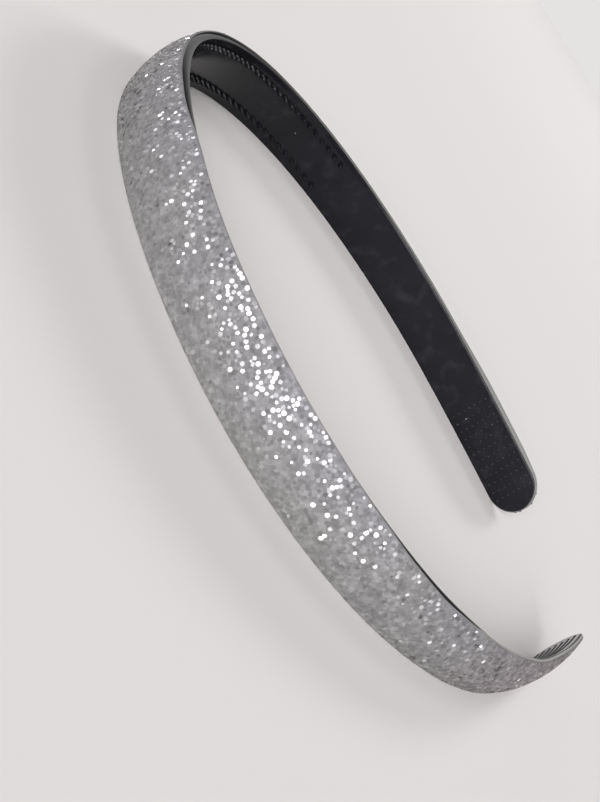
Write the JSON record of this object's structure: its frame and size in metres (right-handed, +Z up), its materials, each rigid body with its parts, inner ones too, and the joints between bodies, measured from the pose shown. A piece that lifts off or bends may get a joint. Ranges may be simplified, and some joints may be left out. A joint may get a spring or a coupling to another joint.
{
  "type": "glitter headband",
  "caption": "Curved plastic hair band with rounded ends, comb teeth on its inner face and a glitter sheet glued over its convex outer face.",
  "frame": {"origin": "middle of the headband's plan box, on the plane of its lower rim", "axes": "+Y towards the crown, +Z up across the band's width as it lies on its side, +X from one arm to the other"},
  "size_m": [0.1416, 0.1386, 0.014],
  "materials": {
    "black_plastic": "moulded, satin black",
    "silver_glitter": "fine silver glitter with bright flakes"
  },
  "bodies": {
    "root": {"band": "black_plastic", "glitter_cover": "silver_glitter"}
  },
  "joints": []
}
